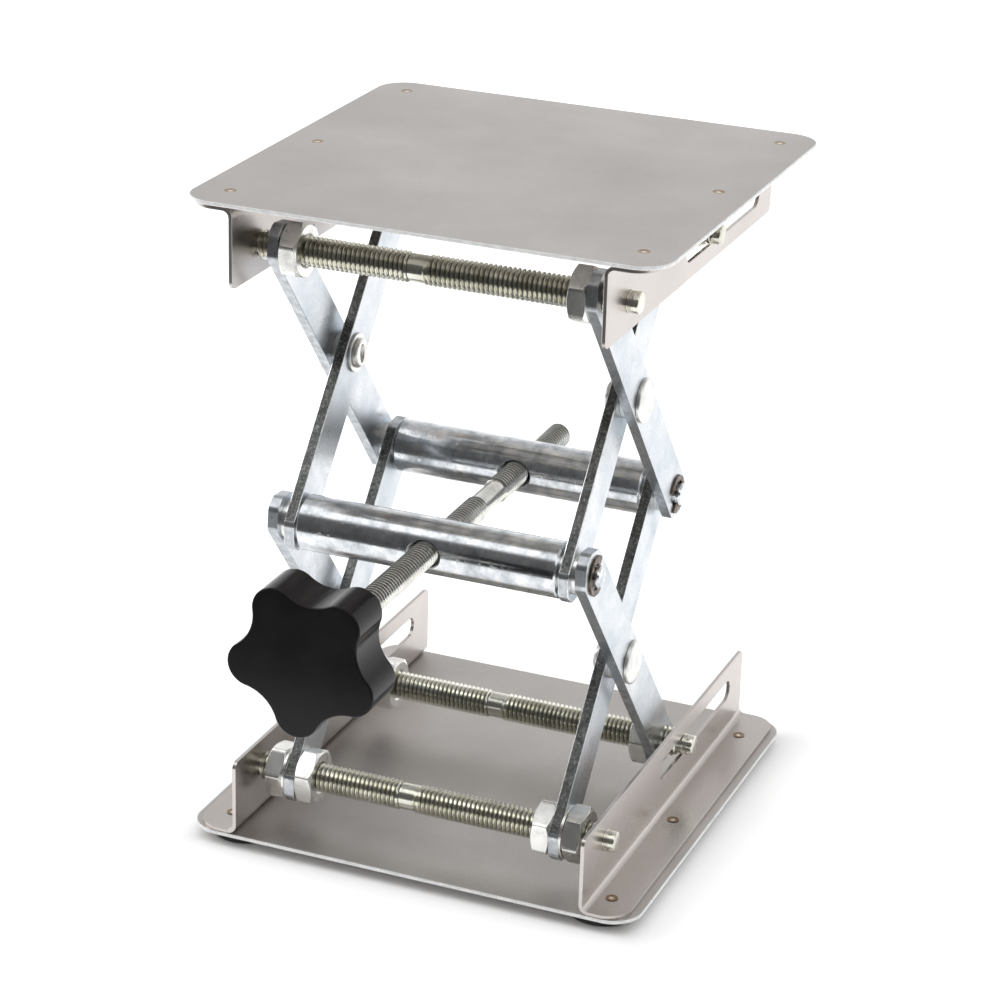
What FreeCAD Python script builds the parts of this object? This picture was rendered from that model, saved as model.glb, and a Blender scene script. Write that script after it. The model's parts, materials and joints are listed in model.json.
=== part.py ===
import FreeCAD, Part
import os
import re
import Sketcher

# Scissor lab jack with 150 mm square plates, in millimetres and degrees.
# X runs along the cross rods, Y along the lead screw with the knob at -Y, and +Z is up.
# The origin is on the bench under the middle of the base plate. The jack stands partly raised.
# Two sets of crossed arms stand one above the other. In each set the inner pair of arms rises
# towards the back and the outer pair falls towards the back.

SIZES = {
    # plates and rubber feet
    "plate_side": 150.0,
    "plate_gauge": 1.2,
    "plate_corner": 10.0,
    "foot_dia": 24.0,
    "foot_taper": 0.6,
    "foot_height": 3.8,
    "foot_inset": 14.5,
    "foot_edge": 0.8,
    # folded angle brackets, spot welded to the plates
    "bracket_gauge": 1.2,
    "bracket_length": 149.0,
    "bracket_face": 57.5,
    "bracket_reach": 14.7,
    "bracket_rise": 25.0,
    "bend_inside": 2.0,
    "flange_corner": 8.0,
    "flange_tip": 2.5,
    "pivot_rise": 16.0,
    "pivot_hole": 6.7,
    "slot_height": 7.0,
    "slot_front": -7.0,
    "slot_back": 62.0,
    # arms
    "arm_centres": 112.0,
    "rest_angle": 50.4,
    "front_pivot": -55.5,
    "arm_gauge": 3.4,
    "arm_width": 14.5,
    "arm_end": 9.0,
    "arm_corner": 5.0,
    "arm_corner_round": 3.0,
    "inner_arm_face": 42.9,
    "outer_arm_face": 48.3,
    # threaded cross rods, with their nuts and washers
    "rod_dia": 9.2,
    "rod_hole": 9.4,
    "rod_half": 56.9,
    "rod_chamfer": 0.6,
    "pin_dia": 6.5,
    "pin_tip": 62.3,
    "patch_dia": 8.0,
    "patch_centre": -6.3,
    "patch_width": 5.8,
    "nut_flats": 16.0,
    "nut_height": 6.0,
    "nut_bevel": 1.0,
    "nut_corner_reach": 9.6,
    "nut_bevel_dia": 15.2,
    "washer_dia": 17.0,
    "washer_gauge": 0.8,
    # rivets through the crossings of the arms
    "rivet_dia": 8.0,
    "rivet_hole": 8.15,
    "rivet_head_dia": 14.0,
    "rivet_head": 1.5,
    "rivet_rim": 0.7,
    "rivet_tail_dia": 9.6,
    "rivet_tail": 1.5,
    "rivet_washer_dia": 12.4,
    # crossbars that the lead screw runs through, with their clips and washers
    "bar_dia": 17.2,
    "bar_half": 42.1,
    "bar_chamfer": 0.5,
    "bar_pin_dia": 7.0,
    "bar_pin_hole": 7.15,
    "bar_pin_tip": 53.9,
    "groove_dia": 5.6,
    "groove_width": 0.8,
    "clip_dia": 12.8,
    "clip_inside": 8.6,
    "clip_gauge": 0.7,
    "clip_mouth": 5.8,
    "clip_lug": 1.6,
    "clip_root": 0.4,
    "bar_washer_dia": 13.0,
    "screw_hole": 8.3,
    "sink_dia": 11.4,
    "sink_depth": 1.8,
    # lead screw and star knob
    "screw_dia": 8.0,
    "screw_patch_dia": 6.8,
    "screw_patch_width": 15.5,
    "screw_patch_shift": 4.5,
    "screw_end": 47.7,
    "screw_chamfer": 1.0,
    "knob_front": -146.8,
    "knob_thickness": 15.4,
    "knob_dia": 48.2,
    "knob_phase": 48.7,
    "knob_edge": 1.2,
    "scallop_dia": 21.6,
    "scallop_centre": 28.0,
    "lobe_round": 6.0,
    "insert_dia": 11.8,
    "insert_bore": 8.2,
    "insert_length": 12.0,
    "knob_bore": 12.0,
}

# Places that follow from the sizes, as formulas of the sheet's cells.
BASE_FACE = "foot_height + plate_gauge"
LOW_PIVOT = f"({BASE_FACE} + pivot_rise)"
ARM_RISE = "(arm_centres * sin(rest_angle))"
MID_PIVOT = f"({LOW_PIVOT} + {ARM_RISE})"
HIGH_PIVOT = f"({MID_PIVOT} + {ARM_RISE})"
TOP_FACE = f"({HIGH_PIVOT} + pivot_rise)"
BACK_PIVOT = "(front_pivot + arm_centres * cos(rest_angle))"
CROSS_PIVOT = f"((front_pivot + {BACK_PIVOT}) / 2)"
SCREW_CENTRE = CROSS_PIVOT
ARM_GAP = "(outer_arm_face - inner_arm_face - arm_gauge)"

# A length in mm that counts as touching, and the volume in mm3 below which a cut missed.
NEAR = 0.01
LEAST_CUT = 0.5

doc = FreeCAD.newDocument("LabJack")
sheet = doc.addObject("Spreadsheet::Sheet", "Sizes")
for row, (alias, number) in enumerate(SIZES.items(), start=1):
    sheet.set(f"A{row}", alias)
    sheet.set(f"B{row}", str(number))
    sheet.setAlias(f"B{row}", alias)
doc.recompute()

nodes = []


# Helpers: formulas, sketches and features

def cells(formula):
    """Give the formula with each size's name turned into its cell in the sheet."""
    def cell(word):
        return f"Sizes.{word[0]}" if word[0] in SIZES else word[0]
    return re.sub(r"[a-z_]+", cell, formula)


def value(formula):
    """Work a formula out now, as a plain number."""
    return float(sheet.evalExpression(cells(formula)))


def bind(item, formulas):
    """Bind each property of the item to its formula."""
    for path, formula in formulas.items():
        item.setExpression(path, cells(formula))


def place(item, x="0", y="0", z="0", axis=(1, 0, 0), angle="0"):
    """Turn the item about an axis through its own origin, then move it."""
    item.Placement = FreeCAD.Placement(FreeCAD.Vector(), FreeCAD.Rotation(FreeCAD.Vector(axis), 90))
    bind(item, {"Placement.Base.x": x, "Placement.Base.y": y, "Placement.Base.z": z})
    bind(item, {"Placement.Rotation.Angle": angle})


def new_body(name):
    """Start a body."""
    return doc.addObject("PartDesign::Body", name)


def node(item, label):
    """Give a finished item the name of its file, and keep it for writing."""
    item.Label = label
    nodes.append(item)
    return item


def new_sketch(body, name, role):
    """Start a sketch on one of the body's own origin planes."""
    sketch = body.newObject("Sketcher::SketchObject", name)
    plane = next(item for item in body.Origin.OriginFeatures if item.Role == role)
    sketch.AttachmentSupport = [(plane, "")]
    sketch.MapMode = "FlatFace"
    return sketch


def pin_point(sketch, geometry, point, across, up):
    """Hold a point of the sketch at two formulas measured from the sketch's origin."""
    for kind, formula, axis in (("DistanceX", across, -2), ("DistanceY", up, -1)):
        if formula is None:
            continue
        if formula == "0":
            sketch.addConstraint(Sketcher.Constraint("PointOnObject", geometry, point, axis))
            continue
        rule = Sketcher.Constraint(kind, -1, 1, geometry, point, value(formula))
        number = sketch.addConstraint(rule)
        sketch.setExpression(f"Constraints[{number}]", cells(formula))


def add_circle(sketch, diameter, across="0", up="0"):
    """Add a circle whose place and diameter are formulas."""
    middle = FreeCAD.Vector(value(across), value(up), 0)
    ring = Part.Circle(middle, FreeCAD.Vector(0, 0, 1), value(diameter) / 2)
    number = sketch.addGeometry(ring, False)
    rule = sketch.addConstraint(Sketcher.Constraint("Diameter", number, value(diameter)))
    sketch.setExpression(f"Constraints[{rule}]", cells(diameter))
    pin_point(sketch, number, 3, across, up)


def add_polygon(sketch, points):
    """Add a closed outline whose corners are pairs of formulas."""
    corners = [FreeCAD.Vector(value(across), value(up), 0) for across, up in points]
    first = sketch.GeometryCount
    last = first + len(points) - 1
    for start, end in zip(corners, corners[1:] + corners[:1]):
        sketch.addGeometry(Part.LineSegment(start, end), False)
    for number, (across, up) in enumerate(points, start=first):
        before = number - 1 if number > first else last
        sketch.addConstraint(Sketcher.Constraint("Coincident", before, 2, number, 1))
        pin_point(sketch, number, 1, across, up)


def add_slot(sketch, start, end, up, height):
    """Add a slot with round ends, from start to end along the sketch's first axis."""
    radius = f"({height} / 2)"
    left, right = f"({start} + {radius})", f"({end} - {radius})"
    upper, lower = f"({up} + {radius})", f"({up} - {radius})"
    corners = [(left, upper), (right, upper), (right, lower), (left, lower)]
    spots = [FreeCAD.Vector(value(across), value(rise), 0) for across, rise in corners]
    top = sketch.addGeometry(Part.LineSegment(spots[0], spots[1]), False)
    bottom = sketch.addGeometry(Part.LineSegment(spots[2], spots[3]), False)
    for geometry, point, corner in ((top, 1, 0), (top, 2, 1), (bottom, 1, 2), (bottom, 2, 3)):
        pin_point(sketch, geometry, point, *corners[corner])
    for middle, tip, begin, finish in ((right, end, (bottom, 1), (top, 2)),
                                       (left, start, (top, 1), (bottom, 2))):
        outermost = FreeCAD.Vector(value(tip), value(up), 0)
        first = spots[2] if begin[0] == bottom else spots[0]
        last = spots[1] if begin[0] == bottom else spots[3]
        bend = sketch.addGeometry(Part.Arc(first, outermost, last), False)
        sketch.addConstraint(Sketcher.Constraint("Coincident", bend, 1, *begin))
        sketch.addConstraint(Sketcher.Constraint("Coincident", bend, 2, *finish))
        pin_point(sketch, bend, 3, middle, None)


def pad(body, sketch, length, centred=False):
    """Raise a sketch into a solid of the given length."""
    feature = body.newObject("PartDesign::Pad", f"{sketch.Name}Pad")
    feature.Profile = sketch
    feature.SideType = "Symmetric" if centred else "One side"
    bind(feature, {"Length": length})
    doc.recompute()
    return feature


def cut_through(body, sketch):
    """Cut a sketch right through the body, both ways."""
    before = body.Shape.Volume
    feature = body.newObject("PartDesign::Pocket", f"{sketch.Name}Pocket")
    feature.Profile = sketch
    feature.SideType = "Two sides"
    feature.Type = "ThroughAll"
    feature.Type2 = "ThroughAll"
    doc.recompute()
    if body.Shape.Volume > before - LEAST_CUT:
        raise RuntimeError(f"{feature.Name} cut nothing")
    return feature


def turn(body, sketch, axis, cut=False):
    """Turn a sketch right round one of its own axes, to add or to cut."""
    before = body.Shape.Volume if cut else 0
    kind = "Groove" if cut else "Revolution"
    feature = body.newObject(f"PartDesign::{kind}", f"{sketch.Name}{kind}")
    feature.Profile = sketch
    feature.ReferenceAxis = (sketch, [axis])
    feature.Angle = 360
    doc.recompute()
    if cut and body.Shape.Volume > before - LEAST_CUT:
        raise RuntimeError(f"{feature.Name} cut nothing")
    return feature


def edges_where(body, test):
    """Name the body's edges whose middle point and length pass the test."""
    found = []
    for number, edge in enumerate(body.Shape.Edges, start=1):
        middle = edge.valueAt((edge.FirstParameter + edge.LastParameter) / 2)
        if test(body.Placement.inverse().multVec(middle), edge.Length):
            found.append(f"Edge{number}")
    if not found:
        raise RuntimeError(f"no edge of {body.Name} passes the test")
    return found


def dress(body, kind, name, test, size):
    """Fillet or chamfer the edges that pass the test."""
    base, edges = body.Tip, edges_where(body, test)
    feature = body.newObject(f"PartDesign::{kind}", name)
    feature.Base = (base, edges)
    bind(feature, {"Radius" if kind == "Fillet" else "Size": size})
    body.Tip = feature
    doc.recompute()
    return feature


def group(label, source, places):
    """Make one node of several copies of a body; each place is a dictionary for place()."""
    copies = []
    for number, spot in enumerate(places, start=1):
        copy = doc.addObject("App::Link", f"{label}_{number}")
        copy.LinkedObject = source
        place(copy, **spot)
        copies.append(copy)
    compound = doc.addObject("Part::Compound", f"{label}_group")
    compound.Links = copies
    return node(compound, label)


def both_sides(across, y, z):
    """Give two places, on the right and mirrored on the left, for a piece turned about X."""
    left = f"-({across})"
    return [{"x": across, "y": y, "z": z},
            {"x": left, "y": y, "z": z, "axis": (0, 0, 1), "angle": "180"}]


def turned_piece(name, plane, axis, points):
    """Make a body by turning an outline, given as pairs of formulas, round a sketch axis."""
    body = new_body(name)
    sketch = new_sketch(body, f"{name}Outline", plane)
    add_polygon(sketch, points)
    turn(body, sketch, axis)
    return body


def ring(name, outside, inside, thickness):
    """Make a flat ring whose axis is X and whose inner face is at x = 0."""
    body = new_body(name)
    sketch = new_sketch(body, f"{name}Rings", "YZ_Plane")
    add_circle(sketch, outside)
    add_circle(sketch, inside)
    pad(body, sketch, thickness)
    return body


# Plates and feet

def plate(name, z):
    """A square sheet with round corners."""
    body = new_body(f"{name}_body")
    half = "plate_side / 2"
    sketch = new_sketch(body, f"{name}_square", "XY_Plane")
    add_polygon(sketch, [(f"-{half}", f"-{half}"), (half, f"-{half}"), (half, half), (f"-{half}", half)])
    pad(body, sketch, "plate_gauge")

    def upright(middle, length):
        return length < 2 * SIZES["plate_gauge"]
    dress(body, "Fillet", f"{name}_corners", upright, "plate_corner")
    place(body, z=z)
    return node(body, name)


def foot(name, side, end):
    """A round rubber foot, a little narrower at the bench."""
    radius = "foot_dia / 2"
    body = turned_piece(f"{name}_body", "XZ_Plane", "V_Axis", [
        ("0", "0"), (f"{radius} - foot_taper - foot_edge", "0"), (f"{radius} - foot_taper", "foot_edge"),
        (radius, "foot_height - foot_edge"), (radius, "foot_height"), ("0", "foot_height")])
    offset = "(plate_side / 2 - foot_inset)"
    place(body, x=f"{side} * {offset}", y=f"{end} * {offset}")
    return node(body, name)


# Brackets

def bracket(name, side, upside_down):
    """An angle with a round pivot hole in front and a slot behind; side is 1 right or -1 left.

    It is drawn standing on z = 0. A bracket under the top plate is turned over about Y, which
    also swaps its side, so it is drawn for the other side.
    """
    hand = -side if upside_down else side
    inner, outer = f"{hand} * bracket_face", f"{hand} * (bracket_face + bracket_gauge)"
    edge = f"{hand} * (bracket_face + bracket_reach)"
    body = new_body(f"{name}_body")
    section = new_sketch(body, f"{name}_section", "XZ_Plane")
    add_polygon(section, [(inner, "0"), (edge, "0"), (edge, "bracket_gauge"), (outer, "bracket_gauge"),
                          (outer, "bracket_rise"), (inner, "bracket_rise")])
    pad(body, section, "bracket_length", centred=True)

    half_length = SIZES["bracket_length"] / 2

    def is_at(x, z):
        def test(middle, length):
            return abs(abs(middle.x) - x) < NEAR and abs(middle.z - z) < NEAR and length > half_length
        return test
    face, gauge = SIZES["bracket_face"], SIZES["bracket_gauge"]
    dress(body, "Fillet", f"{name}_bend_inside", is_at(face + gauge, gauge), "bend_inside")
    dress(body, "Fillet", f"{name}_bend_outside", is_at(face, 0), "bend_inside + bracket_gauge")

    def flange_corner(middle, length):
        return abs(middle.z - gauge / 2) < NEAR and abs(middle.x) > face + SIZES["bracket_reach"] - 1 \
            and length < 2 * gauge

    def flange_tip(middle, length):
        return abs(middle.z - SIZES["bracket_rise"]) < NEAR and length < 2 * gauge
    dress(body, "Fillet", f"{name}_flange_corners", flange_corner, "flange_corner")
    dress(body, "Fillet", f"{name}_flange_tips", flange_tip, "flange_tip")

    holes = new_sketch(body, f"{name}_holes", "YZ_Plane")
    add_circle(holes, "pivot_hole", "front_pivot", "pivot_rise")
    add_slot(holes, "slot_front", "slot_back", "pivot_rise", "slot_height")
    cut_through(body, holes)
    if upside_down:
        place(body, z=TOP_FACE, axis=(0, 1, 0), angle="180")
    else:
        place(body, z=BASE_FACE)
    return node(body, name)


# Arms

def arm(name, side, face, y, z, angle, holes):
    """A flat bar with three holes, from the pivot at y, z along the angle above +Y."""
    body = new_body(f"{name}_body")
    outline = new_sketch(body, f"{name}_outline", "YZ_Plane")
    half, back, front = "arm_width / 2", "-arm_end", "arm_centres + arm_end"
    add_polygon(outline, [
        (back, f"-({half} - arm_corner)"), (f"{back} + arm_corner", f"-{half}"),
        (f"{front} - arm_corner", f"-{half}"), (front, f"-({half} - arm_corner)"),
        (front, f"{half} - arm_corner"), (f"{front} - arm_corner", half),
        (f"{back} + arm_corner", half), (back, f"{half} - arm_corner")])
    pad(body, outline, "arm_gauge")

    def corner(middle, length):
        return abs(length - SIZES["arm_gauge"]) < NEAR
    dress(body, "Fillet", f"{name}_corners", corner, "arm_corner_round")
    drilled = new_sketch(body, f"{name}_holes", "YZ_Plane")
    for diameter, along in zip(holes, ("0", "arm_centres / 2", "arm_centres")):
        add_circle(drilled, diameter, along, "0")
    cut_through(body, drilled)
    across = face if side > 0 else f"-({face} + arm_gauge)"
    place(body, across, y, z, angle=angle)
    return node(body, name)


def arm_pair(label, face, y, z, angle, holes):
    """The right and left arms of a pair."""
    for side, word in ((1, "right"), (-1, "left")):
        arm(f"{label}_{word}", side, face, y, z, angle, holes)


# Threaded rods with their nuts and washers

def rod(name, y, z):
    """A threaded cross rod with a plain pin at each end and a smooth patch left of centre."""
    pin, core = "pin_dia / 2", "rod_dia / 2"
    patch_left = "patch_centre - patch_width / 2"
    patch_right = "patch_centre + patch_width / 2"
    points = [("-pin_tip", "0"), ("-pin_tip", f"{pin} - rod_chamfer"), ("-pin_tip + rod_chamfer", pin),
              ("-rod_half", pin), ("-rod_half", f"{core} - rod_chamfer"),
              ("-rod_half + rod_chamfer", core), (patch_left, core), (patch_left, "patch_dia / 2"),
              (patch_right, "patch_dia / 2"), (patch_right, core), ("rod_half - rod_chamfer", core),
              ("rod_half", f"{core} - rod_chamfer"), ("rod_half", pin), ("pin_tip - rod_chamfer", pin),
              ("pin_tip", f"{pin} - rod_chamfer"), ("pin_tip", "0")]
    body = turned_piece(f"{name}_body", "XY_Plane", "H_Axis", points)
    place(body, y=y, z=z)
    return node(body, name)


def hex_nut():
    """A hexagon nut on the X axis, centred on x = 0, with bevelled corners."""
    body = new_body("hex_nut")
    outline = new_sketch(body, "hex_nut_outline", "YZ_Plane")
    radius = "nut_flats / sqrt(3)"
    add_polygon(outline, [(f"{radius} * cos({angle})", f"{radius} * sin({angle})")
                          for angle in range(10, 370, 60)])
    pad(body, outline, "nut_height", centred=True)
    bevels = new_sketch(body, "hex_nut_bevels", "XY_Plane")
    face, rim, beyond = "nut_height / 2", "nut_bevel_dia / 2", "nut_corner_reach"
    for hand in ("", "-"):
        add_polygon(bevels, [(f"{hand}{face}", rim), (f"{hand}{face}", beyond),
                             (f"{hand}({face} - nut_bevel)", beyond)])
    turn(body, bevels, "H_Axis", cut=True)
    bore = new_sketch(body, "hex_nut_bore", "YZ_Plane")
    add_circle(bore, "rod_hole")
    cut_through(body, bore)
    return body


def nuts(label, nut, spots, y, z):
    """Nuts at each distance from the middle, on both sides."""
    group(label, nut, [{"x": f"{hand} * {spot}", "y": y, "z": z} for spot in spots for hand in (1, -1)])


# Rivets

def rivet():
    """A rivet on the X axis with its head's seat at x = 0 and its peened tail inward."""
    grip = f"(2 * arm_gauge + {ARM_GAP} + washer_gauge)"
    head, tail, shank = "rivet_head_dia / 2", "rivet_tail_dia / 2", "rivet_dia / 2"
    return turned_piece("rivet", "XY_Plane", "H_Axis", [
        ("0", shank), ("0", head), ("rivet_head - rivet_rim", head), ("rivet_head", f"{head} - rivet_rim"),
        ("rivet_head", "0"), (f"-({grip} + rivet_tail)", "0"),
        (f"-({grip} + rivet_tail)", f"{tail} - rivet_rim"),
        (f"-({grip} + rivet_tail - rivet_rim)", tail), (f"-{grip}", tail), (f"-{grip}", shank)])


# Crossbars with their clips

def crossbar(name, y):
    """A round bar with a pin at each end, drilled across for the lead screw."""
    radius, pin, waist = "bar_dia / 2", "bar_pin_dia / 2", "groove_dia / 2"
    groove_in = "(outer_arm_face + arm_gauge)"
    groove_out = f"({groove_in} + groove_width)"
    right = [("bar_half - bar_chamfer", radius), ("bar_half", f"{radius} - bar_chamfer"),
             ("bar_half", pin), (groove_in, pin), (groove_in, waist), (groove_out, waist),
             (groove_out, pin), ("bar_pin_tip - bar_chamfer", pin),
             ("bar_pin_tip", f"{pin} - bar_chamfer"), ("bar_pin_tip", "0")]
    left = [(f"-({across})", up) for across, up in reversed(right)]
    body = turned_piece(f"{name}_body", "XY_Plane", "H_Axis", left + right)
    drilled = new_sketch(body, f"{name}_drilled", "XY_Plane")
    hole, sink = "screw_hole / 2", "sink_dia / 2"
    shallow, deep = radius, f"({radius} - sink_depth)"
    add_polygon(drilled, [("0", f"-{shallow}"), (sink, f"-{shallow}"), (hole, f"-{deep}"),
                          (hole, deep), (sink, shallow), ("0", shallow)])
    turn(body, drilled, "V_Axis", cut=True)
    place(body, y=y, z=MID_PIVOT)
    return node(body, name)


def clip():
    """An E-clip on the X axis from x = 0: an open ring with three lugs on the pin's groove."""
    body = new_body("clip")
    rim = new_sketch(body, "clip_rim", "YZ_Plane")
    add_circle(rim, "clip_dia")
    add_circle(rim, "clip_inside")
    pad(body, rim, "clip_gauge")
    mouth = new_sketch(body, "clip_mouth_cut", "YZ_Plane")
    half_mouth, beyond = "clip_mouth / 2", "clip_dia / 2 + clip_lug"
    add_polygon(mouth, [(f"-{half_mouth}", "-clip_lug"), (half_mouth, "-clip_lug"),
                        (half_mouth, f"-({beyond})"), (f"-{half_mouth}", f"-({beyond})")])
    cut_through(body, mouth)
    lugs = new_sketch(body, "clip_lugs", "YZ_Plane")
    seat, root, half_lug = "groove_dia / 2", "clip_inside / 2 + clip_root", "clip_lug / 2"
    add_polygon(lugs, [(f"-{half_lug}", seat), (half_lug, seat), (half_lug, root), (f"-{half_lug}", root)])
    for hand in ("", "-"):
        add_polygon(lugs, [(f"{hand}({seat})", f"-{half_lug}"), (f"{hand}({root})", f"-{half_lug}"),
                           (f"{hand}({root})", half_lug), (f"{hand}({seat})", half_lug)])
    pad(body, lugs, "clip_gauge")
    return body


# Lead screw and knob

def lead_screw():
    """The screw along Y: a smooth patch, just behind its middle, parts its two opposite threads."""
    radius, waist = "screw_dia / 2", "screw_patch_dia / 2"
    back_end = "knob_front + knob_thickness - insert_length"
    patch_front = f"{SCREW_CENTRE} + screw_patch_shift - screw_patch_width / 2"
    patch_back = f"{SCREW_CENTRE} + screw_patch_shift + screw_patch_width / 2"
    body = turned_piece("lead_screw_body", "XY_Plane", "V_Axis", [
        ("0", back_end), (f"{radius} - screw_chamfer", back_end), (radius, f"{back_end} + screw_chamfer"),
        (radius, patch_front), (waist, patch_front), (waist, patch_back), (radius, patch_back),
        (radius, "screw_end - screw_chamfer"), (f"{radius} - screw_chamfer", "screw_end"),
        ("0", "screw_end")])
    place(body, z=MID_PIVOT)
    return node(body, "lead_screw")


def knob_insert():
    """The plain sleeve in the knob's back."""
    body = turned_piece("knob_insert_body", "XY_Plane", "V_Axis", [
        ("insert_bore / 2", "0"), ("insert_dia / 2", "0"), ("insert_dia / 2", "insert_length"),
        ("insert_bore / 2", "insert_length")])
    place(body, y="knob_front + knob_thickness - insert_length", z=MID_PIVOT)
    return node(body, "knob_insert")


def star_knob():
    """A knob with five round lobes, drawn with its front face at y = 0 and its back at +Y."""
    body = new_body("star_knob_body")
    disc = new_sketch(body, "star_knob_disc", "XZ_Plane")
    add_circle(disc, "knob_dia")
    blank = pad(body, disc, "knob_thickness")
    blank.Reversed = True
    doc.recompute()
    dent = new_sketch(body, "star_knob_dent", "XZ_Plane")
    add_circle(dent, "scallop_dia", "scallop_centre * cos(knob_phase + 36)",
               "scallop_centre * sin(knob_phase + 36)")
    first = cut_through(body, dent)
    dents = body.newObject("PartDesign::PolarPattern", "star_knob_dents")
    dents.Originals = [first]
    dents.Axis = (disc, ["N_Axis"])
    dents.Angle = 360
    dents.Occurrences = 5
    body.Tip = dents
    doc.recompute()

    def lobe_edge(middle, length):
        return abs(length - SIZES["knob_thickness"]) < NEAR and abs(middle.y) > 1
    dress(body, "Fillet", "star_knob_lobes", lobe_edge, "lobe_round")

    def face_edge(middle, length):
        return middle.y < NEAR or middle.y > SIZES["knob_thickness"] - NEAR
    dress(body, "Fillet", "star_knob_edges", face_edge, "knob_edge")
    bore = new_sketch(body, "star_knob_bore", "XZ_Plane")
    bind(bore, {"AttachmentOffset.Base.z": "-knob_thickness"})
    add_circle(bore, "knob_bore")
    before = body.Shape.Solids[0].CenterOfMass.y
    drilled = body.newObject("PartDesign::Pocket", "star_knob_drilled")
    drilled.Profile = bore
    drilled.Type = "Length"
    drilled.Reversed = True
    bind(drilled, {"Length": "insert_length"})
    doc.recompute()
    if body.Shape.Solids[0].CenterOfMass.y > before - 0.1:
        raise RuntimeError("the knob's bore is not cut from its back")
    place(body, y="knob_front", z=MID_PIVOT)
    return node(body, "star_knob")


def build_plates():
    """Both plates with their brackets, and the feet."""
    plate("base_plate", "foot_height")
    plate("top_plate", TOP_FACE)
    for side, word in ((1, "right"), (-1, "left")):
        bracket(f"base_bracket_{word}", side, upside_down=False)
        bracket(f"top_bracket_{word}", side, upside_down=True)
        for end, place_word in ((-1, "front"), (1, "rear")):
            foot(f"foot_{place_word}_{word}", side, end)


def build_arms():
    """Four pairs of arms: inner and outer, lower and upper."""
    inner, outer = "inner_arm_face", "outer_arm_face"
    rising, falling = "rest_angle", "-rest_angle"
    inner_lower_holes = ("rod_hole", "rivet_hole", "bar_pin_hole")
    inner_upper_holes = ("bar_pin_hole", "rivet_hole", "rod_hole")
    arm_pair("lower_inner_arm", inner, "front_pivot", LOW_PIVOT, rising, inner_lower_holes)
    arm_pair("lower_outer_arm", outer, "front_pivot", MID_PIVOT, falling, inner_upper_holes)
    arm_pair("upper_inner_arm", inner, "front_pivot", MID_PIVOT, rising, inner_upper_holes)
    arm_pair("upper_outer_arm", outer, "front_pivot", HIGH_PIVOT, falling, inner_lower_holes)


def build_rods():
    """Cross rods, with two nuts and a washer at each inner arm and one nut at each outer arm."""
    nut = hex_nut()
    washer = ring("rod_washer", "washer_dia", "rod_hole", "washer_gauge")
    beside = "nut_height / 2"
    inside = f"(inner_arm_face - {beside})"
    outside = f"(inner_arm_face + arm_gauge + washer_gauge + {beside})"
    outer_inside = f"(outer_arm_face - {beside})"
    washer_spot = "inner_arm_face + arm_gauge"
    for name, y, z in (("bottom_front", "front_pivot", LOW_PIVOT), ("top_rear", BACK_PIVOT, HIGH_PIVOT)):
        rod(f"{name}_rod", y, z)
        nuts(f"{name}_nuts", nut, (inside, outside), y, z)
        group(f"{name}_washers", washer, both_sides(washer_spot, y, z))
    for name, y, z in (("bottom_rear", BACK_PIVOT, LOW_PIVOT), ("top_front", "front_pivot", HIGH_PIVOT)):
        rod(f"{name}_rod", y, z)
        nuts(f"{name}_nuts", nut, (outer_inside,), y, z)


def build_rivets():
    """The rivet at each crossing of the arms, with a spacer between the arms and a tail washer."""
    one_rivet = rivet()
    spacer = ring("rivet_spacer", "rivet_washer_dia", "rivet_hole", ARM_GAP)
    tail_washer = ring("rivet_tail_washer", "rivet_washer_dia", "rivet_hole", "washer_gauge")
    for name, lower_z, upper_z in (("lower", LOW_PIVOT, MID_PIVOT), ("upper", MID_PIVOT, HIGH_PIVOT)):
        z = f"({lower_z} + {upper_z}) / 2"
        group(f"{name}_rivets", one_rivet, both_sides("outer_arm_face + arm_gauge", CROSS_PIVOT, z))
        group(f"{name}_rivet_spacers", spacer, both_sides("inner_arm_face + arm_gauge", CROSS_PIVOT, z))
        group(f"{name}_rivet_washers", tail_washer,
              both_sides("inner_arm_face - washer_gauge", CROSS_PIVOT, z))


def build_bars():
    """Crossbars at mid height, with washers, spacers and E-clips on their pins."""
    washer = ring("bar_washer", "bar_washer_dia", "bar_pin_hole", "inner_arm_face - bar_half")
    spacer = ring("bar_spacer", "bar_washer_dia", "bar_pin_hole", ARM_GAP)
    one_clip = clip()
    for name, y in (("front", "front_pivot"), ("rear", BACK_PIVOT)):
        crossbar(f"{name}_crossbar", y)
        group(f"{name}_bar_washers", washer, both_sides("bar_half", y, MID_PIVOT))
        group(f"{name}_bar_spacers", spacer, both_sides("inner_arm_face + arm_gauge", y, MID_PIVOT))
        group(f"{name}_clips", one_clip, both_sides("outer_arm_face + arm_gauge", y, MID_PIVOT))


def check_document():
    """Stop if any object failed, or any node has no good solid."""
    doc.recompute()
    for item in doc.Objects:
        if "Invalid" in item.State or "Error" in item.State:
            raise RuntimeError(f"{item.Name} failed: {item.State}")
    for item in nodes:
        if item.Shape.isNull() or not item.Shape.isValid() or not item.Shape.Solids:
            raise RuntimeError(f"{item.Label} has no valid solid")


build_plates()
build_arms()
build_rods()
build_rivets()
build_bars()
lead_screw()
knob_insert()
star_knob()
check_document()
os.makedirs("parts", exist_ok=True)
for item in nodes:
    item.Shape.exportStep(f"parts/{item.Label}.step")
    print(f"{item.Label}: {len(item.Shape.Solids)} solid(s), {item.Shape.Volume:.0f} mm3")
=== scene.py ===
import json
import math

import bmesh
import bpy
from mathutils import Matrix, Vector

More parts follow.
